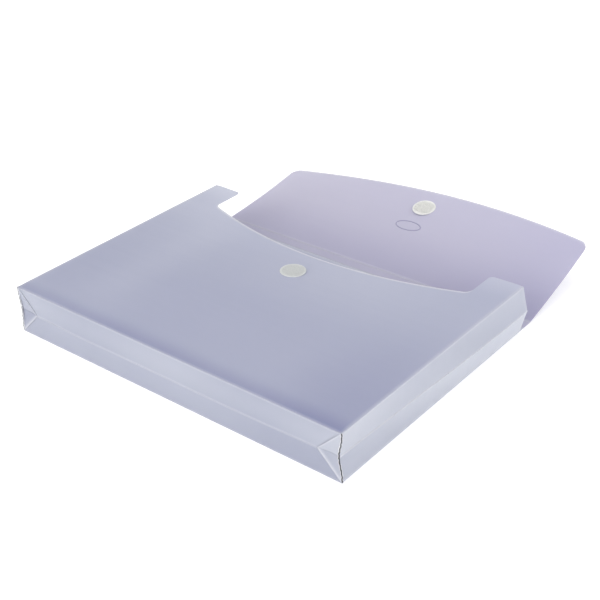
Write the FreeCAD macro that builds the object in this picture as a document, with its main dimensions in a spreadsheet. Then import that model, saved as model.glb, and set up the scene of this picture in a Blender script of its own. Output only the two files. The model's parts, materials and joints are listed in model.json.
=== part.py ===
"""Expanding document case with a flap: one creased and welded polypropylene sheet and two coins.

Millimetres. The case lies on its back panel. +X runs along the closed edge, +Y from the closed
edge to the mouth and the flap, +Z up. The origin is the middle of the pocket's footprint, on the
underside of the back panel. Every panel between two creases is a piece of its own, because it
turns about its creases. A crease is a round bead on one panel's edge, centred on the fold line,
and a groove in the neighbouring panel that clears it.
"""
import FreeCAD, Part
import os
import Sketcher

DIMENSIONS = {
    "case_width": 330.0,        # along the closed edge, outside
    "pocket_depth": 241.0,      # from the closed edge to the mouth
    "case_thickness": 42.0,     # over both panels, with the gussets open
    "sheet_thickness": 0.5,
    "back_depth": 246.5,        # the back panel runs past the mouth to the first flap crease
    "spine_width": 11.0,        # strip between the two flap creases
    "flap_side": 102.5,         # flap, crease to free corner
    "flap_bow": 16.0,           # how far the free edge bows out at its middle
    "flap_corner": 8.0,         # radius of the flap's free corners
    "flap_lift": 12.5,          # degrees that the open flap rises off the table
    "tab_width": 30.0,          # front panel's tabs, either side of the thumb cut
    "tab_height": 33.0,         # tabs, above the ends of the thumb cut
    "thumb_bow": 22.5,          # how much deeper the thumb cut is at its middle
    "notch_corner": 5.0,        # radius where a tab meets the thumb cut
    "tab_corner": 4.0,          # radius of a tab's inner top corner
    "coin_diameter": 22.0,
    "coin_height": 1.4,
    "coin_edge": 0.4,           # rounding of a coin's rim
    "adhesive_height": 0.2,
    "adhesive_inset": 0.5,      # how far the adhesive disc stays inside the coin's rim
    "coin_place": 153.0,        # front coin's centre, from the closed edge
    "bead_radius": 0.25,        # crease bead
    "groove_radius": 0.3,       # groove that clears the bead
    "crease_gap": 0.05,         # from a fold line to the edge of the panel that turns on it
    "seam_gap": 0.3,            # between the side gussets and the bottom gusset at the corners
    "web_gap": 0.1,             # either side of a corner web's diagonal
}

doc = FreeCAD.newDocument("document_case")
sheet = doc.addObject("Spreadsheet::Sheet", "Dimensions")
sub_parts = []


class Size:
    """A length, as its present value and as the expression that ties it to the sheet."""

    def __init__(self, value, text):
        self.value = value
        self.text = text

    def joined(self, sign, other, value):
        other_text = other.text if isinstance(other, Size) else str(other)
        return Size(value, f"({self.text} {sign} {other_text})")

    def __neg__(self):
        return Size(-self.value, f"(-{self.text})")

    def __add__(self, other):
        return self.joined("+", other, self.value + plain(other))

    def __sub__(self, other):
        return self.joined("-", other, self.value - plain(other))

    def __mul__(self, other):
        return self.joined("*", other, self.value * plain(other))

    def __truediv__(self, other):
        return self.joined("/", other, self.value / plain(other))


def plain(size):
    return size.value if isinstance(size, Size) else size


def fill_sheet():
    """One row for each driving dimension: its name, and its value under that alias."""
    for row, (name, number) in enumerate(DIMENSIONS.items(), start=1):
        sheet.set(f"A{row}", name)
        sheet.set(f"B{row}", str(number))
        sheet.setAlias(f"B{row}", name)
    doc.recompute()


def size(name):
    return Size(DIMENSIONS[name], f"{sheet.Name}.{name}")


fill_sheet()

ZERO = Size(0.0, "0")
width = size("case_width")
depth = size("pocket_depth")
thick = size("sheet_thickness")
back_depth = size("back_depth")
spine_width = size("spine_width")
crease_gap = size("crease_gap")
web_gap = size("web_gap")
bead_radius = size("bead_radius")
groove_radius = size("groove_radius")

half_width = width / 2
fold_x = half_width - thick                                  # side fold lines, on the inner face
closed_edge = -(depth / 2)                                   # y of the closed edge
mouth_crease = closed_edge + back_depth                      # y of the first flap crease
flap_crease = mouth_crease + spine_width                     # y of the second flap crease
half_height = size("case_thickness") / 2 - thick             # fold line to fold line, one gusset half
middle = size("case_thickness") / 2                          # z of the gussets' middle creases
front_z = size("case_thickness") - thick                     # z of the front panel's underside
gusset_start = closed_edge + thick + size("seam_gap")        # y where the side gussets begin
gusset_length = depth - thick - size("seam_gap")
inner_span = fold_x - half_height                            # half length of the middle crease


# ---------------------------------------------------------------- drawing helpers

def new_body(label, x, y, z, tilt=None):
    """A body named for its file, placed by the sheet and, if tilted, turned about X."""
    body = doc.addObject("PartDesign::Body", label)
    body.Label = label
    angle = tilt.value if tilt else 0.0
    turn = FreeCAD.Rotation(FreeCAD.Vector(1, 0, 0), angle)
    body.Placement = FreeCAD.Placement(FreeCAD.Vector(x.value, y.value, z.value), turn)
    body.setExpression("Placement.Base.x", x.text)
    body.setExpression("Placement.Base.y", y.text)
    body.setExpression("Placement.Base.z", z.text)
    if tilt:
        body.setExpression("Placement.Rotation.Angle", tilt.text)
    sub_parts.append(body)
    return body


def new_sketch(body, role, name):
    sketch = body.newObject("Sketcher::SketchObject", f"{body.Name}_{name}")
    planes = [feature for feature in body.Origin.OriginFeatures if feature.Role == role]
    sketch.AttachmentSupport = [(planes[0], "")]
    sketch.MapMode = "FlatFace"
    return sketch


def fix_point(sketch, edge, end, x, y):
    """Ties one point of an edge to its distances from the sketch's origin."""
    for kind, place in (("DistanceX", x), ("DistanceY", y)):
        number = sketch.addConstraint(Sketcher.Constraint(kind, -1, 1, edge, end, place.value))
        sketch.setExpression(f"Constraints[{number}]", place.text)


def draw_outline(sketch, corners, bow_edge=None, bow=None):
    """A closed outline through the corners. The edge numbered bow_edge, counted from 0, is an
    arc whose middle stands bow further towards +Y of the sketch than its ends."""
    points = [FreeCAD.Vector(x.value, y.value, 0) for x, y in corners]
    for edge, start in enumerate(points):
        end = points[(edge + 1) % len(points)]
        if edge == bow_edge:
            crown = (start + end) / 2 + FreeCAD.Vector(0, bow.value, 0)
            sketch.addGeometry(Part.Arc(start, crown, end))
        else:
            sketch.addGeometry(Part.LineSegment(start, end))
    for edge, (x, y) in enumerate(corners):
        if edge != bow_edge:
            fix_point(sketch, edge, 1, x, y)
            next_x, next_y = corners[(edge + 1) % len(corners)]
            if (edge + 1) % len(corners) == bow_edge:
                fix_point(sketch, edge, 2, next_x, next_y)
    if bow_edge is not None:
        join_arc(sketch, bow_edge, len(corners), points)
        chord = corners[bow_edge][0] - corners[(bow_edge + 1) % len(corners)][0]
        rise = bow if bow.value > 0 else -bow
        radius = (chord * chord / 4 + rise * rise) / (rise * 2)
        number = sketch.addConstraint(Sketcher.Constraint("Radius", bow_edge, radius.value))
        sketch.setExpression(f"Constraints[{number}]", radius.text)
    for edge in range(len(corners)):
        after = (edge + 1) % len(corners)
        if bow_edge not in (edge, after):
            sketch.addConstraint(Sketcher.Constraint("Coincident", edge, 2, after, 1))


def join_arc(sketch, arc, count, points):
    """Joins an arc's ends to its neighbours, whichever way round the arc is stored."""
    starts_first = sketch.getPoint(arc, 1).distanceToPoint(points[arc]) < 1e-6
    first, last = (1, 2) if starts_first else (2, 1)
    sketch.addConstraint(Sketcher.Constraint("Coincident", (arc - 1) % count, 2, arc, first))
    sketch.addConstraint(Sketcher.Constraint("Coincident", arc, last, (arc + 1) % count, 1))


def draw_circle(sketch, x, y, radius):
    centre = FreeCAD.Vector(x.value, y.value, 0)
    circle = sketch.addGeometry(Part.Circle(centre, FreeCAD.Vector(0, 0, 1), radius.value))
    fix_point(sketch, circle, 3, x, y)
    number = sketch.addConstraint(Sketcher.Constraint("Radius", circle, radius.value))
    sketch.setExpression(f"Constraints[{number}]", radius.text)


def pad(body, sketch, length, reverse=False, both_ways=False):
    feature = body.newObject("PartDesign::Pad", f"{sketch.Name}_pad")
    feature.Profile = sketch
    feature.Length = length.value
    feature.setExpression("Length", length.text)
    feature.Reversed = reverse
    feature.Midplane = both_ways
    doc.recompute()
    return feature


def pocket(body, sketch):
    """Cuts the sketch right through the body, both ways, and makes sure that it cut."""
    before = body.Shape.Volume
    feature = body.newObject("PartDesign::Pocket", f"{sketch.Name}_cut")
    feature.Profile = sketch
    feature.Type = "ThroughAll"
    feature.Midplane = True
    doc.recompute()
    if body.Shape.Volume >= before:
        raise RuntimeError(f"{feature.Name} removed nothing")
    return feature


def upright_edges(shape, x, y):
    """Names of the edges that run along Z through the point (x, y) of the body."""
    names = []
    for number, edge in enumerate(shape.Edges, start=1):
        ends = [vertex.Point for vertex in edge.Vertexes]
        at_place = all(abs(p.x - x.value) < 1e-3 and abs(p.y - y.value) < 1e-3 for p in ends)
        if len(ends) == 2 and at_place:
            names.append(f"Edge{number}")
    return names


def fillet(body, name, places, radius):
    """Rounds the upright edges at the given places of a flat sheet."""
    base = body.Tip
    edges = [edge for x, y in places for edge in upright_edges(base.Shape, x, y)]
    if len(edges) != len(places):
        raise RuntimeError(f"{body.Label}: {len(edges)} edges to round, not {len(places)}")
    feature = body.newObject("PartDesign::Fillet", f"{body.Name}_{name}")
    feature.Base = (base, edges)
    feature.Radius = radius.value
    feature.setExpression("Radius", radius.text)
    doc.recompute()


def bead(body, role, name, x, y, length, reverse=False, both_ways=False):
    """The round bead of a crease, centred on the fold line."""
    sketch = new_sketch(body, role, name)
    draw_circle(sketch, x, y, bead_radius)
    pad(body, sketch, length, reverse, both_ways)


def groove(body, role, name, *centres):
    """Grooves that clear the beads of the neighbouring panels."""
    sketch = new_sketch(body, role, name)
    for x, y in centres:
        draw_circle(sketch, x, y, groove_radius)
    pocket(body, sketch)


# ---------------------------------------------------------------- the pocket's panels

def make_back_panel():
    body = new_body("back_panel", ZERO, closed_edge, ZERO)
    sketch = new_sketch(body, "XY_Plane", "outline")
    end = back_depth - crease_gap
    draw_outline(
        sketch,
        [(-half_width, ZERO), (half_width, ZERO), (half_width, end), (-half_width, end)],
    )
    pad(body, sketch, thick)
    groove(body, "XZ_Plane", "side_creases", (-fold_x, thick), (fold_x, thick))
    groove(body, "YZ_Plane", "end_creases", (ZERO, thick), (back_depth, thick))


def make_front_panel():
    """The front panel: two tabs at the mouth and a shallow curved thumb cut between them."""
    body = new_body("front_panel", ZERO, closed_edge, front_z)
    inner = half_width - size("tab_width")
    shoulder = depth - size("tab_height")
    sketch = new_sketch(body, "XY_Plane", "outline")
    draw_outline(
        sketch,
        [
            (-half_width, ZERO),
            (half_width, ZERO),
            (half_width, depth),
            (inner, depth),
            (inner, shoulder),
            (-inner, shoulder),
            (-inner, depth),
            (-half_width, depth),
        ],
        bow_edge=4,
        bow=-size("thumb_bow"),
    )
    pad(body, sketch, thick)
    fillet(body, "notch", [(inner, shoulder), (-inner, shoulder)], size("notch_corner"))
    fillet(body, "tabs", [(inner, depth), (-inner, depth)], size("tab_corner"))
    groove(body, "XZ_Plane", "side_creases", (-fold_x, ZERO), (fold_x, ZERO))
    groove(body, "YZ_Plane", "closed_crease", (ZERO, ZERO))


# ---------------------------------------------------------------- the side gussets

def make_side_gusset(name, side):
    """Two halves that fold inwards. side is 1 on the right and -1 on the left."""
    lower_end = half_height - crease_gap
    outer = thick * side

    lower = new_body(f"{name}_gusset_lower", fold_x * side, gusset_start, thick)
    sketch = new_sketch(lower, "XZ_Plane", "section")
    draw_outline(
        sketch,
        [(ZERO, crease_gap), (outer, crease_gap), (outer, lower_end), (ZERO, lower_end)],
    )
    pad(lower, sketch, gusset_length, reverse=True)
    bead(lower, "XZ_Plane", "foot_bead", ZERO, ZERO, gusset_length, reverse=True)
    groove(lower, "XZ_Plane", "middle_crease", (outer, half_height))

    upper = new_body(f"{name}_gusset_upper", half_width * side, gusset_start, middle)
    sketch = new_sketch(upper, "XZ_Plane", "section")
    draw_outline(
        sketch,
        [(ZERO, crease_gap), (-outer, crease_gap), (-outer, lower_end), (ZERO, lower_end)],
    )
    pad(upper, sketch, gusset_length, reverse=True)
    bead(upper, "XZ_Plane", "middle_bead", ZERO, ZERO, gusset_length, reverse=True)
    bead(upper, "XZ_Plane", "head_bead", -outer, half_height, gusset_length, reverse=True)


# ---------------------------------------------------------------- the bottom gusset

def make_bottom_gusset():
    """Two halves along the closed edge that fold outwards, with ends cut at 45 degrees."""
    near = crease_gap
    far = half_height - crease_gap
    wide = fold_x - crease_gap - web_gap
    narrow = fold_x - far - web_gap

    lower = new_body("bottom_gusset_lower", ZERO, closed_edge, thick)
    sketch = new_sketch(lower, "XZ_Plane", "outline")
    draw_outline(sketch, [(-wide, near), (wide, near), (narrow, far), (-narrow, far)])
    pad(lower, sketch, thick, reverse=True)
    wide_bead = (wide - bead_radius * 2) * 2
    bead(lower, "YZ_Plane", "foot_bead", ZERO, ZERO, wide_bead, both_ways=True)
    groove(lower, "YZ_Plane", "middle_crease", (thick, half_height))

    upper = new_body("bottom_gusset_upper", ZERO, closed_edge + thick, middle)
    sketch = new_sketch(upper, "XZ_Plane", "outline")
    draw_outline(sketch, [(-narrow, near), (narrow, near), (wide, far), (-wide, far)])
    pad(upper, sketch, thick)
    narrow_bead = (narrow - bead_radius * 2) * 2
    bead(upper, "YZ_Plane", "middle_bead", ZERO, ZERO, narrow_bead, both_ways=True)
    bead(upper, "YZ_Plane", "head_bead", -thick, half_height, wide_bead, both_ways=True)


def make_corner_web(name, side, level):
    """A triangle between the bottom gusset's 45 degree end and the welded corner seam. side is
    1 on the right and -1 on the left; level is 1 for the lower web and -1 for the upper."""
    z = thick if level == 1 else front_z
    body = new_body(name, fold_x * side, closed_edge + thick, z)
    far = half_height - crease_gap
    sketch = new_sketch(body, "XZ_Plane", "outline")
    draw_outline(
        sketch,
        [
            (web_gap * side, crease_gap * level),
            (thick * side, crease_gap * level),
            (thick * side, far * level),
            ((web_gap - far) * side, far * level),
        ],
    )
    pad(body, sketch, thick)


# ---------------------------------------------------------------- the flap

def make_spine():
    """The narrow strip between the two flap creases, which becomes the closed case's back edge."""
    body = new_body("flap_spine", ZERO, mouth_crease, thick)
    end = spine_width - crease_gap
    sketch = new_sketch(body, "XY_Plane", "outline")
    draw_outline(
        sketch,
        [
            (-half_width, crease_gap),
            (half_width, crease_gap),
            (half_width, end),
            (-half_width, end),
        ],
    )
    pad(body, sketch, thick, reverse=True)
    bead(body, "YZ_Plane", "mouth_bead", ZERO, ZERO, width, both_ways=True)
    groove(body, "YZ_Plane", "flap_crease", (spine_width, ZERO))


def make_flap():
    body = new_body("flap_panel", ZERO, flap_crease, thick, size("flap_lift"))
    side = size("flap_side")
    sketch = new_sketch(body, "XY_Plane", "outline")
    draw_outline(
        sketch,
        [
            (-half_width, crease_gap),
            (half_width, crease_gap),
            (half_width, side),
            (-half_width, side),
        ],
        bow_edge=2,
        bow=size("flap_bow"),
    )
    pad(body, sketch, thick, reverse=True)
    fillet(body, "corners", [(half_width, side), (-half_width, side)], size("flap_corner"))
    bead(body, "YZ_Plane", "flap_bead", ZERO, ZERO, width, both_ways=True)


# ---------------------------------------------------------------- the hook and loop coins

def make_disc(body, name, y, radius, bottom, height):
    """A round disc centred on the body's Y axis, standing on z = bottom of the body."""
    sketch = new_sketch(body, "XY_Plane", name)
    sketch.AttachmentOffset = FreeCAD.Placement(
        FreeCAD.Vector(0, 0, bottom.value), FreeCAD.Rotation()
    )
    sketch.setExpression("AttachmentOffset.Base.z", bottom.text)
    draw_circle(sketch, ZERO, y, radius)
    pad(body, sketch, height)


def make_coin(coin_name, adhesive_name, x, y, z, along, tilt=None):
    """A hook or loop coin on its adhesive disc. along is the coin's place on its panel's Y axis."""
    radius = size("coin_diameter") / 2
    adhesive_height = size("adhesive_height")
    adhesive = new_body(adhesive_name, x, y, z, tilt)
    adhesive_radius = radius - size("adhesive_inset")
    make_disc(adhesive, "disc", along, adhesive_radius, ZERO, adhesive_height)

    coin = new_body(coin_name, x, y, z, tilt)
    make_disc(coin, "disc", along, radius, adhesive_height, size("coin_height"))
    top = adhesive_height.value + DIMENSIONS["coin_height"]
    disc = coin.Tip
    rims = [
        f"Edge{number}"
        for number, edge in enumerate(disc.Shape.Edges, start=1)
        if all(abs(vertex.Z - top) < 1e-6 for vertex in edge.Vertexes)
    ]
    feature = coin.newObject("PartDesign::Fillet", f"{coin.Name}_rim")
    feature.Base = (disc, rims)
    feature.Radius = DIMENSIONS["coin_edge"]
    feature.setExpression("Radius", size("coin_edge").text)
    doc.recompute()


# ---------------------------------------------------------------- checks and files

def check_document():
    """Stops if any object failed, or any sub-part is not one valid solid."""
    for item in doc.Objects:
        if "Invalid" in item.State or "Error" in item.State:
            raise RuntimeError(f"{item.Name} failed: {item.State}")
    for body in sub_parts:
        shape = body.Shape
        if shape.isNull() or not shape.isValid() or len(shape.Solids) != 1:
            count = len(shape.Solids)
            raise RuntimeError(f"{body.Label}: valid {shape.isValid()}, {count} solids")


def write_parts():
    os.makedirs("parts", exist_ok=True)
    for body in sub_parts:
        body.Shape.exportStep(f"parts/{body.Label}.step")
        print(f"{body.Label:28s} {body.Shape.Volume:10.1f} mm3")


make_back_panel()
make_front_panel()
make_side_gusset("left", -1)
make_side_gusset("right", 1)
make_bottom_gusset()
for side_name, side_sign in (("left", -1), ("right", 1)):
    for level_name, level_sign in (("lower", 1), ("upper", -1)):
        make_corner_web(f"corner_web_{side_name}_{level_name}", side_sign, level_sign)
make_spine()
make_flap()

front_top = size("case_thickness")
coin_y = closed_edge + size("coin_place")
make_coin("front_hook_coin", "front_coin_adhesive", ZERO, coin_y, front_top, ZERO)

# The flap coin is as far past the first crease as the front coin is short of it.
flap_coin_place = back_depth - size("coin_place")
make_coin(
    "flap_loop_coin",
    "flap_coin_adhesive",
    ZERO,
    flap_crease,
    thick,
    flap_coin_place,
    size("flap_lift"),
)

doc.recompute()
check_document()
write_parts()
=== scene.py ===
"""Looks of the expanding document case: frosted polypropylene panels, creases and two coins.

Everything is in metres, in the CAD model's frame: +X along the closed edge, +Y from the closed
edge to the mouth and the flap, +Z up, origin under the middle of the pocket.
"""
import json
import math
import random

import bmesh
import bpy
from mathutils import Matrix, Vector


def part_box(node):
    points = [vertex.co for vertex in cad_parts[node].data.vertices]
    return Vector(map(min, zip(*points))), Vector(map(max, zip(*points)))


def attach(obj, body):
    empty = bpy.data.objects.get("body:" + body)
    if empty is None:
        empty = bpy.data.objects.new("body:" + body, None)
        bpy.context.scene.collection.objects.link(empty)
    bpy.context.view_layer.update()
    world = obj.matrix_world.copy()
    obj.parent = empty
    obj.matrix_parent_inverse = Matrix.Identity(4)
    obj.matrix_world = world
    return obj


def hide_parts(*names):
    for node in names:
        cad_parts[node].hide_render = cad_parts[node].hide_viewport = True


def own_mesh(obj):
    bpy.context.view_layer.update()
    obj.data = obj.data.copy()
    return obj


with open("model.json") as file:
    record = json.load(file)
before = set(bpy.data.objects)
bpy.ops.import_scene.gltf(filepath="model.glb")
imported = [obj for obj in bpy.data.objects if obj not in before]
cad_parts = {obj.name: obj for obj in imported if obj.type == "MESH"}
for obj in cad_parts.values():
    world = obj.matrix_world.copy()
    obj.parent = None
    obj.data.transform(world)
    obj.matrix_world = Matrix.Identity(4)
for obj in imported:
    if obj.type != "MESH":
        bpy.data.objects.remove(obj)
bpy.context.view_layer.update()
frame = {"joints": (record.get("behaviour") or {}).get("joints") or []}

MM = 0.001

# ---------------------------------------------------------------- sizes, from the frame

JOINTS = {joint["name"]: joint for joint in frame["joints"]}
FRONT_LOW, FRONT_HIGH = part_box("front_panel")

HALF_WIDTH = FRONT_HIGH[0]
CLOSED_Y = FRONT_LOW[1]
MOUTH_Y = FRONT_HIGH[1]
FRONT_TOP = FRONT_HIGH[2]
THICK = FRONT_HIGH[2] - FRONT_LOW[2]
MIDDLE_Z = JOINTS["right_middle_crease"]["pos_m"][2]
FOOT_Z = JOINTS["gusset_fold"]["pos_m"][2]
HEAD_Z = JOINTS["left_head_crease"]["pos_m"][2]
FOLD_X = JOINTS["right_foot_crease"]["pos_m"][0]
HALF_HEIGHT = MIDDLE_Z - FOOT_Z
SPINE_Y = JOINTS["mouth_crease"]["pos_m"][1]
FLAP_Y = JOINTS["flap_fold"]["pos_m"][1]

# Outline of the panels and the coins, as in the CAD model.
FLAP_LIFT = math.radians(12.5)
TAB_WIDTH = 30 * MM
TAB_HEIGHT = 33 * MM
THUMB_BOW = 22.5 * MM
NOTCH_CORNER = 5 * MM
TAB_CORNER = 4 * MM
FLAP_SIDE = 102.5 * MM
FLAP_BOW = 16 * MM
FLAP_CORNER = 8 * MM
COIN_RADIUS = 11 * MM

# Creases and cut edges of the visual sheets.
CREASE_GAP = 0.05 * MM    # between a fold line and the edge of each sheet beside it
CREASE_BEAD = 0.22 * MM   # radius of the rolled bead on a fold line
EDGE_BEVEL = 0.12 * MM

# How finely the round and crowded shapes are divided.
DENSE_STEPS = 8    # extra columns on each side of a tight curve
BEAD_SIDES = 10
COIN_SIDES = 96
ARCH_STEPS = 6
ARCH_SIDES = 5


# ---------------------------------------------------------------- shapes of curves

def clamp(t):
    return min(max(t, 0.0), 1.0)


def smooth_step(t):
    """0 up to 0, 1 from 1, and an even curve between."""
    t = clamp(t)
    return t * t * (3 - 2 * t)


def bulge(share):
    """0 at both ends and 1 between them."""
    return math.sin(math.pi * clamp(share))


def hump(distance, width):
    """1 at no distance, falling away on both sides."""
    return math.exp(-(distance / width) ** 2)


def near_line(distance, reach):
    """1 on a line, falling to 0 at reach."""
    return 1 - smooth_step(abs(distance) / reach)


def corner_drop(past, radius):
    """How far a rounded corner has fallen, past its start."""
    return radius - math.sqrt(max(radius ** 2 - past ** 2, 0.0))


def bow_radius(half_chord, bow):
    return (half_chord ** 2 + bow ** 2) / (2 * bow)


def shares(count):
    return [i / count for i in range(count + 1)]


def spread(low, high, count, *dense):
    """Values from low to high, with extra ones close about each of the dense places."""
    values = {round(low + (high - low) * share, 7) for share in shares(count)}
    for place, reach in dense:
        for i in range(-DENSE_STEPS, DENSE_STEPS + 1):
            value = place + reach * i / DENSE_STEPS
            if low <= value <= high:
                values.add(round(value, 7))
    return sorted(values)


def straight(start, end, count):
    return [start.lerp(end, share) for share in shares(count)]


# ---------------------------------------------------------------- mesh helpers

def column_grid(bm, columns, rows, bottom, top, place):
    """Quads between bottom(x) and top(x), one column of points for each x. rows are shares of
    the way up, and place(x, y) gives the point in space."""
    lattice = []
    for x in columns:
        low, high = bottom(x), top(x)
        lattice.append([bm.verts.new(place(x, low + (high - low) * share)) for share in rows])
    for left, right in zip(lattice, lattice[1:]):
        for i in range(len(rows) - 1):
            bm.faces.new((left[i], right[i], right[i + 1], left[i + 1]))


def close_rings(bm, rings):
    """Quads between neighbouring rings of points, and a cap on each end."""
    sides = len(rings[0])
    for first, second in zip(rings, rings[1:]):
        for k in range(sides):
            after = (k + 1) % sides
            bm.faces.new((first[k], first[after], second[after], second[k]))
    bm.faces.new(list(reversed(rings[0])))
    bm.faces.new(rings[-1])


def circle_angles(count):
    return [2 * math.pi * k / count for k in range(count)]


def linked_object(name, bm, material):
    mesh = bpy.data.meshes.new(name)
    bm.to_mesh(mesh)
    bm.free()
    mesh.materials.append(material)
    obj = bpy.data.objects.new(name, mesh)
    bpy.context.scene.collection.objects.link(obj)
    return obj


def finished_mesh(name, bm, material, thickness=THICK):
    """A sheet with the faces in bm at its middle, or the faces as they are for thickness 0."""
    bmesh.ops.remove_doubles(bm, verts=bm.verts, dist=1e-6)
    bmesh.ops.recalc_face_normals(bm, faces=bm.faces)
    obj = linked_object(name, bm, material)
    if thickness:
        solid = obj.modifiers.new("thickness", "SOLIDIFY")
        solid.thickness = thickness
        solid.offset = 0.0
        apply_modifiers(obj)
        round_edges(obj)
    for polygon in obj.data.polygons:
        polygon.use_smooth = True
    obj.data.set_sharp_from_angle(angle=math.radians(40))
    return obj


def round_edges(obj):
    """Small bevels on the sheet's cut edges."""
    bevel = obj.modifiers.new("edge", "BEVEL")
    bevel.width = EDGE_BEVEL
    bevel.segments = 2
    bevel.limit_method = "ANGLE"
    bevel.angle_limit = math.radians(60)
    apply_modifiers(obj)


def apply_modifiers(obj):
    bpy.context.view_layer.update()
    evaluated = obj.evaluated_get(bpy.context.evaluated_depsgraph_get())
    mesh = bpy.data.meshes.new_from_object(evaluated)
    obj.modifiers.clear()
    obj.data = mesh


def mark(obj, name, weight):
    """Writes weight(point), from 0 to 1, on every vertex, for a material to read."""
    attribute = obj.data.attributes.new(name, "FLOAT", "POINT")
    for vertex, item in zip(obj.data.vertices, attribute.data):
        item.value = weight(vertex.co)


def dress_sheet(sheet, node, rubbed, tone):
    """Marks a sheet for its material and puts it in place of its CAD node."""
    mark(sheet, "rubbed", rubbed)
    mark(sheet, "tone", tone)
    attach(sheet, node)
    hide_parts(node)


# ---------------------------------------------------------------- materials

def new_material(name):
    material = bpy.data.materials.new(name)
    material.use_nodes = True
    nodes = material.node_tree.nodes
    return material, material.node_tree, nodes["Principled BSDF"]


def grey(value):
    return (value, value, value)


def add_noise(tree, scale, detail=4.0, roughness=0.55, stretch=None):
    """Noise over the piece's own coordinates, in metres. stretch scales each axis."""
    coordinates = tree.nodes.new("ShaderNodeTexCoord")
    noise = tree.nodes.new("ShaderNodeTexNoise")
    noise.inputs["Scale"].default_value = scale
    noise.inputs["Detail"].default_value = detail
    noise.inputs["Roughness"].default_value = roughness
    if stretch:
        mapping = tree.nodes.new("ShaderNodeMapping")
        mapping.inputs["Scale"].default_value = stretch
        tree.links.new(coordinates.outputs["Object"], mapping.inputs["Vector"])
        tree.links.new(mapping.outputs["Vector"], noise.inputs["Vector"])
    else:
        tree.links.new(coordinates.outputs["Object"], noise.inputs["Vector"])
    return noise.outputs["Fac"]


def ramp(tree, value, low, high):
    """A colour ramp between two stops, each (position, colour)."""
    node = tree.nodes.new("ShaderNodeValToRGB")
    for element, (position, colour) in zip(node.color_ramp.elements, (low, high)):
        element.position = position
        element.color = (*colour, 1.0)
    tree.links.new(value, node.inputs["Fac"])
    return node.outputs["Color"]


def blend_colours(tree, factor, first, second):
    node = tree.nodes.new("ShaderNodeMix")
    node.data_type = "RGBA"
    tree.links.new(factor, node.inputs["Factor"])
    for socket, colour in ((node.inputs["A"], first), (node.inputs["B"], second)):
        if isinstance(colour, tuple):
            socket.default_value = (*colour, 1.0)
        else:
            tree.links.new(colour, socket)
    return node.outputs["Result"]


def math_node(tree, operation, first, second):
    node = tree.nodes.new("ShaderNodeMath")
    node.operation = operation
    for socket, value in zip(node.inputs, (first, second)):
        if isinstance(value, (int, float)):
            socket.default_value = value
        else:
            tree.links.new(value, socket)
    return node.outputs[0]


def attribute_value(tree, name):
    node = tree.nodes.new("ShaderNodeAttribute")
    node.attribute_name = name
    return node.outputs["Fac"]


def add_bump(tree, shader, height, strength, distance):
    bump = tree.nodes.new("ShaderNodeBump")
    bump.inputs["Strength"].default_value = strength
    bump.inputs["Distance"].default_value = distance
    tree.links.new(height, bump.inputs["Height"])
    tree.links.new(bump.outputs["Normal"], shader.inputs["Normal"])


# White of the crease wear, also used as a painted highlight along cut edges.
WEAR_AND_HIGHLIGHT_WHITE = (0.74, 0.74, 0.79)
CLOUD_SHARE = 0.16    # how much the clouds lighten the tint
STREAK_SHARE = 0.6    # height of the streaks, against the grain's

# Fineness of each kind of noise, in features to the metre.
CLOUDS = 9.0
STREAKS = 60.0
SPECKLES = 900.0
GRAIN = 2600.0
BEAD_MARKS = 320.0
STREAK_STRETCH = (0.15, 3.0, 1.0)


def sheet_colour(tree, shaded_end, lit_end):
    """A slightly cloudy tint, painted shade and light: mixed from the shaded to the lit colour as
    the painted shading attribute says, then whitened where the wear and highlight attribute is.
    """
    painted_shade_tint = blend_colours(tree, attribute_value(tree, "tone"), shaded_end, lit_end)
    cloud = add_noise(tree, CLOUDS, detail=3.0)
    cloudy = math_node(tree, "MULTIPLY", cloud, CLOUD_SHARE)
    tint = blend_colours(tree, cloudy, painted_shade_tint, lit_end)
    rubbed = attribute_value(tree, "rubbed")
    speckle = add_noise(tree, SPECKLES, detail=2.0)
    whitening_mix = math_node(tree, "MULTIPLY", rubbed, math_node(tree, "ADD", speckle, 0.45))
    return blend_colours(tree, whitening_mix, tint, WEAR_AND_HIGHLIGHT_WHITE)


def frosted_sheet(name, shaded_end, lit_end, alpha):
    """Translucent frosted polypropylene: a fine sand grain, faint rolled streaks, a slight cloudy
    change of tint, and whitening where the sheet is creased, with a painted highlight along its
    cut edges. The tint is painted shade and light: it runs from a shaded to a lit colour as the
    painted shading attribute says."""
    material, tree, shader = new_material(name)
    tree.links.new(sheet_colour(tree, shaded_end, lit_end), shader.inputs["Base Color"])
    streak = add_noise(tree, STREAKS, detail=2.0, stretch=STREAK_STRETCH)
    roughness = ramp(tree, streak, (0.25, grey(0.36)), (0.75, grey(0.50)))
    tree.links.new(roughness, shader.inputs["Roughness"])
    grain = add_noise(tree, GRAIN, detail=2.0, roughness=0.6)
    height = math_node(tree, "ADD", grain, math_node(tree, "MULTIPLY", streak, STREAK_SHARE))
    add_bump(tree, shader, height, 0.22, 0.12 * MM)
    shader.inputs["Alpha"].default_value = alpha
    shader.inputs["Subsurface Weight"].default_value = 0.6
    shader.inputs["Subsurface Radius"].default_value = (1.0, 1.0, 1.0)
    shader.inputs["Subsurface Scale"].default_value = 2 * MM
    shader.inputs["IOR"].default_value = 1.49
    shader.inputs["Specular IOR Level"].default_value = 0.45
    shader.inputs["Sheen Weight"].default_value = 0.08
    shader.inputs["Sheen Roughness"].default_value = 0.5
    return material


def bead_material(name, dark, light, rough, strength):
    """Plastic drawn or melted into a round bead, or a dark bead of painted shade: its colour and
    gloss change along it.
    """
    material, tree, shader = new_material(name)
    marks = add_noise(tree, BEAD_MARKS, detail=3.0)
    tree.links.new(ramp(tree, marks, (0.3, dark), (0.7, light)), shader.inputs["Base Color"])
    roughness = ramp(tree, marks, (0.3, grey(rough)), (0.7, grey(rough + 0.15)))
    tree.links.new(roughness, shader.inputs["Roughness"])
    add_bump(tree, shader, marks, strength, 0.1 * MM)
    return material


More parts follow.
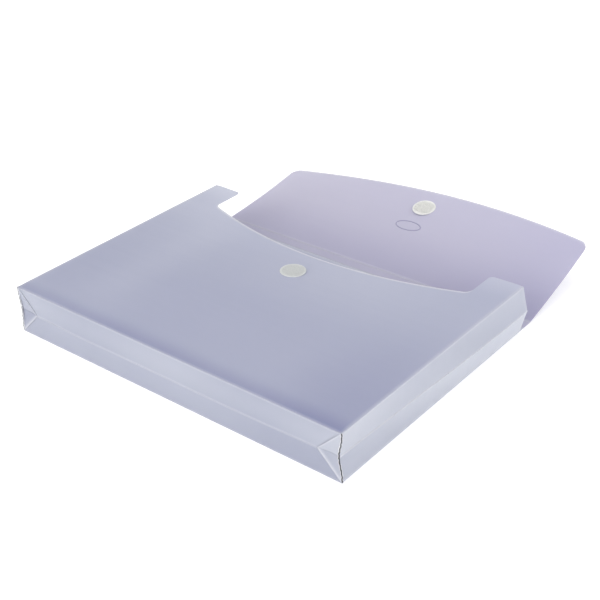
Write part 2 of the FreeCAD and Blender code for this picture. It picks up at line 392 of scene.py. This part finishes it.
def nylon(name, dark, light, scale):
    """Off-white fibres, fine or coarse as scale says, for the coins and their adhesive."""
    material, tree, shader = new_material(name)
    fibres = add_noise(tree, scale, detail=5.0, roughness=0.7)
    tree.links.new(ramp(tree, fibres, (0.3, dark), (0.7, light)), shader.inputs["Base Color"])
    roughness = ramp(tree, fibres, (0.3, grey(0.55)), (0.7, grey(0.8)))
    tree.links.new(roughness, shader.inputs["Roughness"])
    add_bump(tree, shader, fibres, 0.5, 0.2 * MM)
    shader.inputs["Sheen Weight"].default_value = 0.3
    shader.inputs["Sheen Roughness"].default_value = 0.4
    return material


# Each sheet material holds a shaded and a lit colour, painted shade and light, mixed by the
# painted shading attribute.
PANEL = frosted_sheet("frosted_panel", (0.155, 0.17, 0.33), (0.565, 0.585, 0.69), 0.90)
GUSSET = frosted_sheet("frosted_gusset", (0.20, 0.215, 0.32), (0.53, 0.55, 0.615), 0.92)
FLAP = frosted_sheet("frosted_flap", (0.265, 0.255, 0.42), (0.55, 0.535, 0.63), 0.90)
CREASE = bead_material("crease_line", (0.36, 0.375, 0.46), (0.46, 0.475, 0.54), 0.3, 0.2)
# Paler than the sheet: a painted highlight along the side gussets' middle ridges.
CREASE_HIGHLIGHT = bead_material("crease_ridge", (0.48, 0.49, 0.55), (0.62, 0.63, 0.67), 0.25, 0.2)
# Melted weld beads; their near-white is partly a painted highlight on the bright seam edges.
WELD_BEAD_HIGHLIGHT = bead_material("weld_bead", (0.62, 0.62, 0.66), (0.92, 0.92, 0.94), 0.15, 0.5)
# Near black: painted shade in the gap of the corner seam.
WELD_GAP_SHADE = bead_material("weld_gap", (0.02, 0.02, 0.03), (0.09, 0.09, 0.11), 0.35, 0.4)
HOOKS = nylon("hook_nylon", (0.50, 0.515, 0.515), (0.66, 0.67, 0.665), 900.0)
LOOPS = nylon("loop_nylon", (0.68, 0.68, 0.66), (0.84, 0.84, 0.82), 700.0)
GLUE = nylon("adhesive_disc", (0.50, 0.50, 0.52), (0.62, 0.62, 0.63), 300.0)


# ---------------------------------------------------------------- the front and back panels

SIDE_ROLL = (0.35 * MM, 6 * MM)     # how far a panel drops at a crease, and from how far away
CLOSED_ROLL = (0.5 * MM, 8 * MM)
PILLOW = 1.6 * MM
MOUTH_SAG = 3.6 * MM
RIPPLE = 0.25 * MM
RIPPLE_X = 41 * MM    # a ripple's length over 2 pi, across and along the panel
RIPPLE_Y = 53 * MM
THUMB_X = HALF_WIDTH - TAB_WIDTH    # half the width of the thumb cut
THUMB_SHOULDER = MOUTH_Y - TAB_HEIGHT


def edge_roll(x, y):
    """How far a panel drops close to its creased edges, where the sheet bends into them."""
    roll = 0.0
    edges = ((HALF_WIDTH - abs(x), SIDE_ROLL), (y - CLOSED_Y, CLOSED_ROLL))
    for distance, (drop, reach) in edges:
        roll += drop * (1 - smooth_step(distance / reach))
    return roll


def front_height(x, y):
    """Middle surface of the front panel: nearly flat, slightly pillowed, sagging at the mouth."""
    across = 1 - (x / HALF_WIDTH) ** 2
    along = (y - CLOSED_Y) / (MOUTH_Y - CLOSED_Y)
    pillow = PILLOW * across * math.sin(math.pi * min(along * 1.15, 1.0))
    sag = -MOUTH_SAG * across ** 2 * smooth_step((along - 0.42) / 0.4)
    ripple = RIPPLE * math.sin(x / RIPPLE_X + 1.0) * math.sin(y / RIPPLE_Y) * across
    return FRONT_TOP - THICK / 2 + (pillow + sag + ripple) * smooth_step(along * 6)


def front_painted_shading(point):
    """Painted shading: darkest along the closed edge and in the right corner, lightest at the
    mouth and on the tabs, with lighter bands across the panel."""
    along = (point.y - CLOSED_Y) / (MOUTH_Y - CLOSED_Y)
    across = point.x / HALF_WIDTH
    closed_edge = 1 - smooth_step(along / 0.08)
    right_side = smooth_step((across - 0.45) / 0.5) * (1 - 0.75 * smooth_step(along / 0.6))
    left_band = hump(across + 0.62, 0.16) * smooth_step(along * 5)
    right_band = hump(across - 0.3, 0.35) * smooth_step((along - 0.35) * 3)
    left_corner = smooth_step((-across - 0.2) / 0.8) * (1 - smooth_step(along / 0.12))
    left_tab = smooth_step((-across - 0.5) / 0.4) * smooth_step((along - 0.65) / 0.2)
    tone = 0.48 + 0.14 * smooth_step((along - 0.3) / 0.5)
    tone -= 0.24 * closed_edge
    tone -= 0.18 * right_side
    tone += 0.09 * left_band
    tone += 0.06 * right_band
    tone += 0.10 * left_corner
    tone += 0.12 * left_tab
    tone += 0.16 * smooth_step((along - 0.86) / 0.14)
    return clamp(tone)


def thumb_cut(x):
    """The thumb cut's edge, rising in a small radius into the tabs."""
    x = min(abs(x), THUMB_X)
    radius = bow_radius(THUMB_X, THUMB_BOW)
    edge = THUMB_SHOULDER - THUMB_BOW + radius - math.sqrt(radius ** 2 - x ** 2)
    past = x - (THUMB_X - NOTCH_CORNER)
    if past > 0:
        edge += corner_drop(past, NOTCH_CORNER)
    return edge


def tab_top(x):
    past = max(THUMB_X + TAB_CORNER - abs(x), 0.0)
    return MOUTH_Y - corner_drop(past, TAB_CORNER)


def front_wear_and_highlight(point):
    """Whitened a little at the creased edges, which is wear, and more along the lip of the thumb
    cut, which is a painted highlight on the cut edge.
    """
    side = near_line(HALF_WIDTH - abs(point.x), 1.2 * MM)
    near = near_line(point.y - CLOSED_Y, 1.2 * MM)
    lip = 0.0
    if abs(point.x) < THUMB_X:
        lip = near_line(thumb_cut(point.x) - point.y, 1.4 * MM)
    return min(1.0, 0.35 * max(side, near) + 0.9 * lip)


def front_panel():
    """Two tabs at the mouth and a shallow curved thumb cut between them."""
    def place(x, y):
        return Vector((x, y, front_height(x, y) - edge_roll(x, y)))

    dense = []
    notch = (THUMB_X - NOTCH_CORNER / 2, NOTCH_CORNER / 2)
    for where, reach in (notch, (THUMB_X, TAB_CORNER)):
        dense += [(-where, reach), (where, reach)]
    columns = spread(-HALF_WIDTH, HALF_WIDTH, 110, *dense)
    bm = bmesh.new()
    column_grid(bm, columns, shares(70), lambda x: CLOSED_Y, thumb_cut, place)
    tab_foot = thumb_cut(THUMB_X)
    for side in (-1, 1):
        own = [x for x in columns if x * side >= THUMB_X - 1e-7]
        column_grid(bm, own, shares(12), lambda x: tab_foot, tab_top, place)
    panel = finished_mesh("front_sheet", bm, PANEL)
    dress_sheet(panel, "front_panel", front_wear_and_highlight, front_painted_shading)


def back_panel():
    """The panel that lies on the table, past the mouth as far as the first flap crease."""
    far = SPINE_Y - CREASE_GAP
    wear_reach = 2.5 * MM

    def place(x, y):
        return Vector((x, y, THICK / 2))

    def rubbed(point):
        side = near_line(HALF_WIDTH - abs(point.x), wear_reach)
        near = near_line(point.y - CLOSED_Y, wear_reach)
        return 0.4 * max(side, near, near_line(far - point.y, 2 * MM))

    # Painted shading: lighter past the mouth.
    def tone(point):
        return 0.45 + 0.2 * smooth_step((point.y - MOUTH_Y) / (5 * MM))

    bm = bmesh.new()
    columns = spread(-HALF_WIDTH, HALF_WIDTH, 60)
    column_grid(bm, columns, shares(50), lambda x: CLOSED_Y, lambda x: far, place)
    panel = finished_mesh("back_sheet", bm, PANEL)
    dress_sheet(panel, "back_panel", rubbed, tone)


# ---------------------------------------------------------------- gussets

SEAM_DIP = {-1: 1.5 * MM, 1: 2.5 * MM}  # how far each corner seam is drawn in at its middle
MOUTH_BULGE = 5.0 * MM    # how far the side gussets stand out at the mouth
BOTTOM_RIDGE = 1.3 * MM   # how far the bottom gusset's middle crease stands out
BOTTOM_WAVE = 0.2 * MM    # height of a slight wave in that crease
SIDE_HOLLOW = 0.5 * MM    # how far each gusset half is drawn in between its creases
BOTTOM_HOLLOW = 0.35 * MM
END_GAP = 0.15 * MM       # between the bottom gusset's ends and the corner webs
WEB_BOW = 1.6 * MM
SIDE_PLANE = HALF_WIDTH - THICK / 2
BOTTOM_PLANE = CLOSED_Y + THICK / 2
GUSSET_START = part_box("left_gusset_lower")[0][1]
NARROW_X = FOLD_X - HALF_HEIGHT    # half the length of the bottom gusset's middle crease


def along_side(y):
    """0 where a side gusset starts and 1 at the mouth."""
    return (y - GUSSET_START) / (MOUTH_Y - GUSSET_START)


def climb(z):
    """0 at a gusset's foot and head creases and 1 at its middle crease."""
    return 1 - abs(z - MIDDLE_Z) / HALF_HEIGHT


def side_ridge(side, y):
    """How far a side's middle crease stands out at y."""
    dip = SEAM_DIP[side]
    return -dip + (MOUTH_BULGE + dip) * smooth_step(0.15 + 0.85 * along_side(y))


def bottom_ridge(x):
    """How far the bottom's middle crease stands out at x."""
    wave = BOTTOM_WAVE * math.sin(x / (23 * MM)) * bulge(abs(x) / NARROW_X)
    return BOTTOM_RIDGE * smooth_step((NARROW_X - abs(x)) / (60 * MM)) + wave


def side_point(side, y, z):
    """A point on a side gusset's middle surface."""
    up = climb(z)
    hollow = SIDE_HOLLOW * bulge(up) * (0.3 + bulge(along_side(y)))
    return Vector((side * (SIDE_PLANE + side_ridge(side, y) * up - hollow), y, z))


def bottom_point(x, z):
    """A point on the bottom gusset's middle surface."""
    up = climb(z)
    hollow = BOTTOM_HOLLOW * bulge(up)
    return Vector((x, BOTTOM_PLANE - bottom_ridge(x) * up + hollow, z))


def flatten_side(piece):
    """Gives a side gusset piece its own copy of its mesh."""
    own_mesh(piece)


def flatten_bottom(piece):
    """Gives a bottom gusset piece its own copy of its mesh."""
    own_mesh(piece)


def gusset_wear(low, high):
    """Whitening along the creases at both edges of a gusset half."""
    def wear(point):
        edge = max(near_line(point.z - low, 0.8 * MM), near_line(high - point.z, 0.8 * MM))
        return 0.3 * edge
    return wear


def side_gusset(name, side):
    """Two halves of a side: drawn in at the corner seam, standing out at the mouth."""
    def place(y, z):
        return side_point(side, y, z)

    def mottle(point):
        return 0.05 * math.sin(point.y / (37 * MM) + point.z / (9 * MM))

    # Painted shading: the lower half lightens towards the mouth, the upper half darkens away from
    # the corner, with a slight wave over both.
    def lower_painted_shading(point):
        return 0.56 + 0.28 * along_side(point.y) + mottle(point)

    def upper_painted_shading(point):
        return 0.74 - 0.14 * smooth_step(along_side(point.y) * 3) + mottle(point)

    columns = spread(GUSSET_START, MOUTH_Y, 60)
    levels = (("lower", FOOT_Z, MIDDLE_Z, lower_painted_shading), ("upper", MIDDLE_Z, HEAD_Z, upper_painted_shading))
    for level, start, end, tone in levels:
        low = start + CREASE_GAP
        high = end - CREASE_GAP
        bm = bmesh.new()
        column_grid(bm, columns, shares(14), lambda y: low, lambda y: high, place)
        sheet = finished_mesh(f"{name}_gusset_sheet_{level}", bm, GUSSET)
        dress_sheet(sheet, f"{name}_gusset_{level}", gusset_wear(low, high), tone)
        flatten_side(sheet)


def bottom_half(level, low, foot, head, tone):
    """One half of the bottom gusset, foot and head being half its width at its two edges."""
    high = low + HALF_HEIGHT - 2 * CREASE_GAP

    def place(share, z):
        up = (z - low) / (high - low)
        return bottom_point(share * (foot + (head - foot) * up), z)

    bm = bmesh.new()
    column_grid(bm, spread(-1, 1, 120), shares(14), lambda x: low, lambda x: high, place)
    sheet = finished_mesh(f"bottom_gusset_sheet_{level}", bm, GUSSET)
    dress_sheet(sheet, f"bottom_gusset_{level}", gusset_wear(low, high), tone)
    flatten_bottom(sheet)


def bottom_gusset():
    """Two halves along the closed edge, with 45 degree ends."""
    wide = FOLD_X - END_GAP
    narrow = wide - HALF_HEIGHT
    lower_start = FOOT_Z + CREASE_GAP
    upper_start = MIDDLE_Z + CREASE_GAP

    # Painted shading: the lower half darker, more so towards the right; the upper half lighter,
    # with a lighter band along its middle.
    def lower_painted_shading(point):
        return 0.40 - 0.12 * smooth_step((point.x / HALF_WIDTH - 0.2) / 0.6)

    def upper_painted_shading(point):
        band = 0.08 * bulge((point.z - upper_start) / (HALF_HEIGHT - 2 * CREASE_GAP))
        return 0.44 + band + 0.06 * math.cos(point.x / HALF_WIDTH * 6)

    bottom_half("lower", lower_start, wide, narrow, lower_painted_shading)
    bottom_half("upper", upper_start, narrow, wide, upper_painted_shading)


def seam_point(side, up, share):
    """The corner seam: drawn in towards its middle. share is 1 at the middle crease."""
    foot_z = FOOT_Z if up == 1 else HEAD_Z
    dip = SEAM_DIP[side] * smooth_step(share * 1.2 - 0.2)
    return Vector((side * (HALF_WIDTH - dip), BOTTOM_PLANE, foot_z + up * HALF_HEIGHT * share))


def web_diagonal(side, up):
    """Ends of the 45 degree crease between the bottom gusset and a corner web, its foot first."""
    foot_z = FOOT_Z if up == 1 else HEAD_Z
    foot = Vector((side * FOLD_X, BOTTOM_PLANE, foot_z))
    apex = Vector((side * NARROW_X, BOTTOM_PLANE, foot_z + up * HALF_HEIGHT))
    return foot, apex


WEB_LOOKS = {"lower": (0.44, 3.0 * MM), "upper": (0.66, 1.2 * MM)}  # painted shading level, reach of the rubbing


def corner_web(side_name, side, level, up):
    """The triangle between the bottom gusset's end and the welded corner seam."""
    foot, apex = web_diagonal(side, up)
    level_painted_shading, rub_reach = WEB_LOOKS[level]
    lit_end = level_painted_shading + 0.12 * side

    def place(share, height):
        """share runs from the diagonal (0) to the seam (1)."""
        point = foot.lerp(apex, height).lerp(seam_point(side, up, height), share)
        point.y += WEB_BOW * bulge(share * 0.8) * height
        point.z += up * CREASE_GAP * (1 - 2 * height)
        return point

    def rubbed(point):
        across = FOLD_X - point.x * side
        height = (point.z - foot.z) * up
        diagonal = near_line((across - height) / math.sqrt(2), rub_reach)
        return max(0.6 * diagonal, 0.6 * near_line(across, 1.0 * MM))

    # Painted shading: darker away from the fold, and lighter on the right side than on the left.
    def tone(point):
        return lit_end - 0.12 * smooth_step((FOLD_X - side * point.x) / (20 * MM))

    bm = bmesh.new()
    first = 0.01     # clear of the diagonal
    lowest = 0.02    # clear of the web's sharp foot
    columns = [first + (1 - first) * share for share in shares(12)]
    column_grid(bm, columns, shares(12), lambda x: lowest, lambda x: 1.0, place)
    web = finished_mesh(f"corner_web_sheet_{side_name}_{level}", bm, GUSSET)
    dress_sheet(web, f"corner_web_{side_name}_{level}", rubbed, tone)


# ---------------------------------------------------------------- creases and welds

def tube(name, points, radius, material, body, wobble=0.08):
    """A closed round bead along a line of points, its radius uneven by wobble."""
    bm = bmesh.new()
    rings = []
    for i, point in enumerate(points):
        ahead = points[min(i + 1, len(points) - 1)] - points[max(i - 1, 0)]
        turn = ahead.to_track_quat("Z", "Y")
        size = radius * (1 + wobble * math.sin(i * 2.1) * math.cos(i * 0.83))
        ring = []
        for angle in circle_angles(BEAD_SIDES):
            spoke = Vector((math.cos(angle), math.sin(angle), 0)) * size
            ring.append(bm.verts.new(point + turn @ spoke))
        rings.append(ring)
    close_rings(bm, rings)
    obj = finished_mesh(name, bm, material, thickness=0)
    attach(obj, body)
    return obj


def side_creases(name, side):
    """The rolled beads of a side gusset. A bead on the fold line stays there as panels turn."""
    places = spread(GUSSET_START, MOUTH_Y, 80)
    outward = Vector((side * THICK / 2, 0, 0))
    foot = [Vector((side * FOLD_X, y, FOOT_Z)) for y in places]
    head = [Vector((side * FOLD_X, y, HEAD_Z)) for y in places]
    middle = [side_point(side, y, MIDDLE_Z) + outward for y in places]
    lower = f"{name}_gusset_lower"
    upper = f"{name}_gusset_upper"
    tube(f"{name}_foot_crease_bead", foot, CREASE_BEAD, CREASE, lower)
    tube(f"{name}_head_crease_bead", head, CREASE_BEAD, CREASE, upper)
    # The middle bead is paler, a painted highlight on the ridge.
    ridge = tube(f"{name}_middle_crease_bead", middle, CREASE_BEAD, CREASE_HIGHLIGHT, upper)
    flatten_side(ridge)


def line_across(half_length, y, z):
    """A line of points along X, from side to side."""
    return straight(Vector((-half_length, y, z)), Vector((half_length, y, z)), 100)


def bottom_creases():
    """The beads along the closed edge. The middle one is finer."""
    foot = line_across(FOLD_X, CLOSED_Y, FOOT_Z)
    head = line_across(FOLD_X, CLOSED_Y, HEAD_Z)
    outward = Vector((0, -THICK / 2, 0))
    middle = [bottom_point(x, MIDDLE_Z) + outward for x in spread(-NARROW_X, NARROW_X, 100)]
    upper = "bottom_gusset_upper"
    tube("bottom_foot_crease_bead", foot, CREASE_BEAD, CREASE, "bottom_gusset_lower")
    tube("bottom_head_crease_bead", head, CREASE_BEAD, CREASE, upper)
    ridge = tube("bottom_middle_crease_bead", middle, CREASE_BEAD * 0.5, CREASE, upper)
    flatten_bottom(ridge)


def flap_creases():
    for name, y in (("mouth", SPINE_Y), ("flap", FLAP_Y)):
        line = line_across(HALF_WIDTH, y, FOOT_Z)
        tube(f"{name}_crease_bead", line, CREASE_BEAD, CREASE, "flap_spine")


WELD_SWAY = 0.22 * MM
# Each line of a weld: its name, how far out and how deep it lies, its radius and its material.
WELD_LINES = (
    ("corner_weld_outer", -0.65 * MM, -0.10 * MM, 0.28 * MM, WELD_BEAD_HIGHLIGHT),
    # A bead of painted shade in the seam's gap.
    ("corner_weld_gap", -0.05 * MM, 0.10 * MM, 0.50 * MM, WELD_GAP_SHADE),
    ("corner_weld_inner", 0.05 * MM, 0.85 * MM, 0.28 * MM, WELD_BEAD_HIGHLIGHT),
)


def corner_weld(side_name, side, level, up):
    """The weld up a corner seam: a near-black bead of painted shade in the gap between two pale
    melted beads, whose white is partly a painted highlight.
    """
    for piece, out, depth, radius, material in WELD_LINES:
        seam = []
        for i, share in enumerate(shares(32)):
            sway = WELD_SWAY * math.sin(i * 0.9 + up)
            shift = Vector((side * (out + sway), depth, 0))
            seam.append(seam_point(side, up, share) + shift)
        name = f"{piece}_{side_name}_{level}"
        tube(name, seam, radius, material, f"corner_web_{side_name}_{level}", 0.3)


def corner_details():
    """At each corner, the webs, the beads on their diagonal creases, and the weld."""
    for side_name, side in (("left", -1), ("right", 1)):
        for level, up in (("lower", 1), ("upper", -1)):
            corner_web(side_name, side, level, up)
            foot, apex = web_diagonal(side, up)
            outward = Vector((0, -THICK / 2, 0))
            line = straight(foot + outward, apex + outward, 24)
            name = f"corner_crease_bead_{side_name}_{level}"
            tube(name, line, CREASE_BEAD * 0.8, CREASE, f"bottom_gusset_{level}", 0.1)
            corner_weld(side_name, side, level, up)


# ---------------------------------------------------------------- spine and flap

FLAP_ALONG = Vector((0, math.cos(FLAP_LIFT), math.sin(FLAP_LIFT)))
FLAP_NORMAL = Vector((0, -math.sin(FLAP_LIFT), math.cos(FLAP_LIFT)))
FLAP_ROOT = Vector((0, FLAP_Y, FOOT_Z))
TWIST = math.radians(4.9)
FLAP_CURL = 1.2 * MM    # how far the middle of the free edge lifts
FLAP_SAG = 1.5 * MM     # how far the flap sags halfway along
EMBOSS_S = 66 * MM
EMBOSS_HALF_LENGTH = 13 * MM
EMBOSS_HALF_HEIGHT = 6 * MM
EMBOSS_RADIUS = 0.5 * MM


def flap_spine():
    """The strip between the two flap creases."""
    near = SPINE_Y + CREASE_GAP
    far = FLAP_Y - CREASE_GAP

    def place(x, y):
        return Vector((x, y, THICK / 2))

    def rubbed(point):
        return 0.4 * max(near_line(point.y - near, 1.2 * MM), near_line(far - point.y, 1.2 * MM))

    bm = bmesh.new()
    columns = spread(-HALF_WIDTH, HALF_WIDTH, 60)
    column_grid(bm, columns, shares(8), lambda x: near, lambda x: far, place)
    sheet = finished_mesh("spine_sheet", bm, FLAP)
    # An even level of painted shading on the spine.
    dress_sheet(sheet, "flap_spine", rubbed, lambda point: 0.50)


def flap_point(x, s, height=0.0):
    """A point on the flap, s along it from its crease. The sheet twists a little, its right
    side higher, and its free edge lifts in the middle."""
    share = x / HALF_WIDTH
    reach = s / FLAP_SIDE
    rise = math.tan(TWIST) * s * share
    curl = FLAP_CURL * (1 - share ** 2) * reach ** 2
    sag = FLAP_SAG * math.sin(math.pi * min(reach, 1))
    lift = rise + curl - sag + height
    return FLAP_ROOT + Vector((x, 0, 0)) + FLAP_ALONG * s + FLAP_NORMAL * lift


def along_flap(point):
    return (point - FLAP_ROOT).dot(FLAP_ALONG)


def flap_end(x):
    """Length of the flap at x: a bowed free edge with rounded corners."""
    radius = bow_radius(HALF_WIDTH, FLAP_BOW)
    edge = FLAP_SIDE + FLAP_BOW - radius + math.sqrt(radius ** 2 - x ** 2)
    past = abs(x) - (HALF_WIDTH - FLAP_CORNER)
    if past > 0:
        edge -= corner_drop(past, FLAP_CORNER)
    return edge


def flap_painted_shading(point):
    """Painted shading: lighter away from the creases and towards the left, darker on the right.
    """
    across = point.x / HALF_WIDTH
    tone = 0.42 + 0.24 * smooth_step(along_flap(point) / (70 * MM)) - 0.10 * across
    return clamp(tone - 0.10 * smooth_step((across - 0.3) / 0.7))


# Whitened at the crease, which is wear, and along the free cut edge, a painted highlight.
def flap_wear_and_highlight(point):
    s = along_flap(point)
    x = min(max(point.x, -HALF_WIDTH), HALF_WIDTH)
    edge = near_line(flap_end(x) - s, 1.2 * MM)
    return min(1.0, 0.4 * near_line(s, 1.5 * MM) + 0.4 * edge)


def flatten_flap(piece):
    """Gives a flap piece its own copy of its mesh."""
    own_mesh(piece)


def flap_panel():
    """The flap, with its upper surface on flap_point."""
    def place(x, s):
        return flap_point(x, s, -THICK / 2)

    where = HALF_WIDTH - FLAP_CORNER / 2
    reach = FLAP_CORNER / 2
    columns = spread(-HALF_WIDTH, HALF_WIDTH, 110, (-where, reach), (where, reach))
    bm = bmesh.new()
    column_grid(bm, columns, shares(44), lambda x: CREASE_GAP, flap_end, place)
    sheet = finished_mesh("flap_sheet", bm, FLAP)
    dress_sheet(sheet, "flap_panel", flap_wear_and_highlight, flap_painted_shading)
    flatten_flap(sheet)


def blank_emboss():
    """A plain oval ring pressed into the flap below the coin."""
    points = []
    for share in shares(96):
        angle = 2 * math.pi * share
        x = EMBOSS_HALF_LENGTH * math.cos(angle)
        s = EMBOSS_S + EMBOSS_HALF_HEIGHT * math.sin(angle)
        points.append(flap_point(x, s, 0.02 * MM))
    ring = tube("blank_oval_emboss", points, EMBOSS_RADIUS, FLAP, "flap_panel", 0.0)
    mark(ring, "rubbed", lambda point: 0.0)
    # The ring's darker tint is painted shade along the pressed line.
    mark(ring, "tone", lambda point: 0.2)
    flatten_flap(ring)


# ---------------------------------------------------------------- coins

COIN_BASE = 0.2 * MM     # thickness of the adhesive under the coin
COIN_DECK = 1.0 * MM     # height of the disc's top, where the arches stand
COIN_EDGE = 0.35 * MM
COIN_MARGIN = 1.4 * MM   # from the disc's edge to the outermost arches
ARCH_HEIGHT = 0.62 * MM
ARCH_RADIUS = 0.11 * MM
ARCH_SINK = 0.15 * MM    # how deep an arch's feet are in the disc
ROW_STEP = 0.9           # from row to row, against the pitch in a row
HOOK_DIRECTION = 0.35    # radians


def lathe(bm, profile, centre, turn):
    """Turns a profile of (radius, height) pairs about the coin's axis."""
    rings = []
    for radius, height in profile:
        ring = []
        for angle in circle_angles(COIN_SIDES):
            point = Vector((radius * math.cos(angle), radius * math.sin(angle), height))
            ring.append(bm.verts.new(centre + turn @ point))
        rings.append(ring)
    close_rings(bm, rings)


def small_arch(bm, foot, direction, span, centre, turn):
    """A hook or loop of thread standing on a coin: half an ellipse of thin round wire."""
    along = Vector((math.cos(direction), math.sin(direction), 0))
    across = Vector((-along.y, along.x, 0))
    rings = []
    for share in shares(ARCH_STEPS):
        angle = math.pi * share
        middle = foot + along * (span * (0.5 - 0.5 * math.cos(angle)))
        middle = middle + Vector((0, 0, ARCH_HEIGHT * math.sin(angle)))
        outward = (along * -math.cos(angle) + Vector((0, 0, math.sin(angle)))).normalized()
        ring = []
        for spin in circle_angles(ARCH_SIDES):
            spoke = outward * math.cos(spin) + across * math.sin(spin)
            ring.append(bm.verts.new(centre + turn @ (middle + spoke * ARCH_RADIUS)))
        rings.append(ring)
    close_rings(bm, rings)


def arch_field(bm, name, centre, turn, pitch, span, jitter):
    """Rows of small arches over a coin: in line for hooks, and scattered by jitter for loops."""
    chooser = random.Random(name)
    reach = COIN_RADIUS - COIN_MARGIN
    rows = int(reach / pitch)
    for row in range(-rows, rows + 1):
        for column in range(-rows - 1, rows + 2):
            x = (column + (0.5 if row % 2 else 0.0)) * pitch
            y = row * pitch * ROW_STEP
            x += chooser.uniform(-jitter, jitter)
            y += chooser.uniform(-jitter, jitter)
            if math.hypot(x, y) < reach:
                direction = chooser.uniform(0, 2 * math.pi) if jitter else HOOK_DIRECTION
                foot = Vector((x, y, COIN_DECK - ARCH_SINK))
                small_arch(bm, foot, direction, span, centre, turn)


def place_coin(piece, body, node):
    """Puts a coin or its adhesive on its panel, in place of its CAD node."""
    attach(piece, body)
    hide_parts(node)


def coin_disc(name, node, body, centre, turn, material, pitch, span, jitter):
    """A moulded disc with a rim, covered with small arches. centre is on the panel's surface."""
    profile = [
        (COIN_RADIUS - COIN_EDGE, COIN_BASE),
        (COIN_RADIUS, COIN_BASE + COIN_EDGE * 0.6),
        (COIN_RADIUS, COIN_DECK - COIN_EDGE * 0.5),
        (COIN_RADIUS - COIN_EDGE * 0.4, COIN_DECK),
        (COIN_RADIUS - COIN_EDGE * 2.0, COIN_DECK),
        (COIN_RADIUS - COIN_EDGE * 2.6, COIN_DECK - 0.12 * MM),
    ]
    bm = bmesh.new()
    lathe(bm, profile, centre, turn)
    arch_field(bm, name, centre, turn, pitch, span, jitter)
    disc = finished_mesh(name, bm, material, thickness=0)
    place_coin(disc, body, node)


def adhesive_disc(name, node, body, centre, turn):
    radius = COIN_RADIUS - 0.5 * MM
    profile = [(radius, -0.02 * MM), (radius + 0.08 * MM, 0.1 * MM), (radius, COIN_BASE)]
    bm = bmesh.new()
    lathe(bm, profile, centre, turn)
    glue = finished_mesh(name, bm, GLUE, thickness=0)
    place_coin(glue, body, node)


def hook_coin():
    """The coin on the front panel, below the thumb cut."""
    low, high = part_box("front_hook_coin")
    y = (low[1] + high[1]) / 2
    centre = Vector((0, y, front_height(0, y) + THICK / 2))
    turn = Matrix.Identity(3)
    body = "front_panel"
    coin_disc("hook_coin", "front_hook_coin", body, centre, turn, HOOKS,
              pitch=1.15 * MM, span=0.75 * MM, jitter=0.0)
    adhesive_disc("hook_coin_adhesive", "front_coin_adhesive", body, centre, turn)


def loop_coin():
    """The coin inside the flap, turned with it."""
    low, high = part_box("flap_loop_coin")
    middle = Vector((0, (low[1] + high[1]) / 2, (low[2] + high[2]) / 2))
    centre = flap_point(0, along_flap(middle))
    turn = Matrix.Rotation(FLAP_LIFT, 3, "X")
    body = "flap_panel"
    coin_disc("loop_coin", "flap_loop_coin", body, centre, turn, LOOPS,
              pitch=0.8 * MM, span=0.9 * MM, jitter=0.25 * MM)
    adhesive_disc("loop_coin_adhesive", "flap_coin_adhesive", body, centre, turn)


# ---------------------------------------------------------------- camera, light and floor

FLOOR_Z = -0.4 * MM


def camera():
    """The photograph's viewpoint, as an angle and a distance from the middle of the case."""
    azimuth = math.radians(39.59)
    elevation = math.radians(30.47)
    roll = math.radians(-1.715)
    distance = 0.9594
    target = Vector((0.0116, 0.0264, 0.02085))
    back = Vector((
        math.sin(azimuth) * math.cos(elevation),
        -math.cos(azimuth) * math.cos(elevation),
        math.sin(elevation),
    ))
    right = Vector((0, 0, 1)).cross(back).normalized()
    up = back.cross(right)
    rolled_right = right * math.cos(roll) + up * math.sin(roll)
    rolled_up = up * math.cos(roll) - right * math.sin(roll)
    data = bpy.data.cameras.new("camera")
    data.lens = 69.95
    data.sensor_width = 36.0
    data.clip_start = 0.01
    obj = bpy.data.objects.new("camera", data)
    bpy.context.scene.collection.objects.link(obj)
    axes = Matrix((rolled_right, rolled_up, back)).transposed()
    obj.matrix_world = Matrix.Translation(target + back * distance) @ axes.to_4x4()
    bpy.context.scene.camera = obj


def area_light(name, place, size, power):
    """A square light, aimed at the case."""
    data = bpy.data.lights.new(name, "AREA")
    data.shape = "SQUARE"
    data.size = size
    data.energy = power
    obj = bpy.data.objects.new(name, data)
    obj.location = place
    obj.rotation_euler = Vector(place).to_track_quat("Z", "Y").to_euler()
    bpy.context.scene.collection.objects.link(obj)


def white_floor():
    material, tree, shader = new_material("white_sweep")
    shader.inputs["Base Color"].default_value = (*grey(0.82), 1.0)
    shader.inputs["Roughness"].default_value = 0.9
    shader.inputs["Emission Color"].default_value = (1.0, 1.0, 1.0, 1.0)
    shader.inputs["Emission Strength"].default_value = 0.36
    bm = bmesh.new()
    bmesh.ops.create_grid(bm, x_segments=2, y_segments=2, size=60.0)
    floor = linked_object("floor", bm, material)
    floor.location = (0, 0, FLOOR_Z)


def studio():
    """A white room: an even sky, a pale glowing floor and three large soft lights."""
    world = bpy.data.worlds.new("studio")
    bpy.context.scene.world = world
    world.use_nodes = True
    sky = world.node_tree.nodes["Background"]
    sky.inputs["Color"].default_value = (1.0, 1.0, 1.0, 1.0)
    sky.inputs["Strength"].default_value = 0.78
    bpy.context.scene.view_settings.view_transform = "Standard"
    white_floor()
    area_light("key", (-0.4, -1.7, 0.75), size=1.4, power=16.0)
    area_light("side", (1.8, -0.4, 0.7), size=1.4, power=15.0)
    area_light("top", (-0.2, 0.6, 2.2), size=2.0, power=8.0)


front_panel()
back_panel()
side_gusset("left", -1)
side_gusset("right", 1)
bottom_gusset()
corner_details()
side_creases("left", -1)
side_creases("right", 1)
bottom_creases()
flap_creases()
flap_spine()
flap_panel()
blank_emboss()
hook_coin()
loop_coin()
camera()
studio()
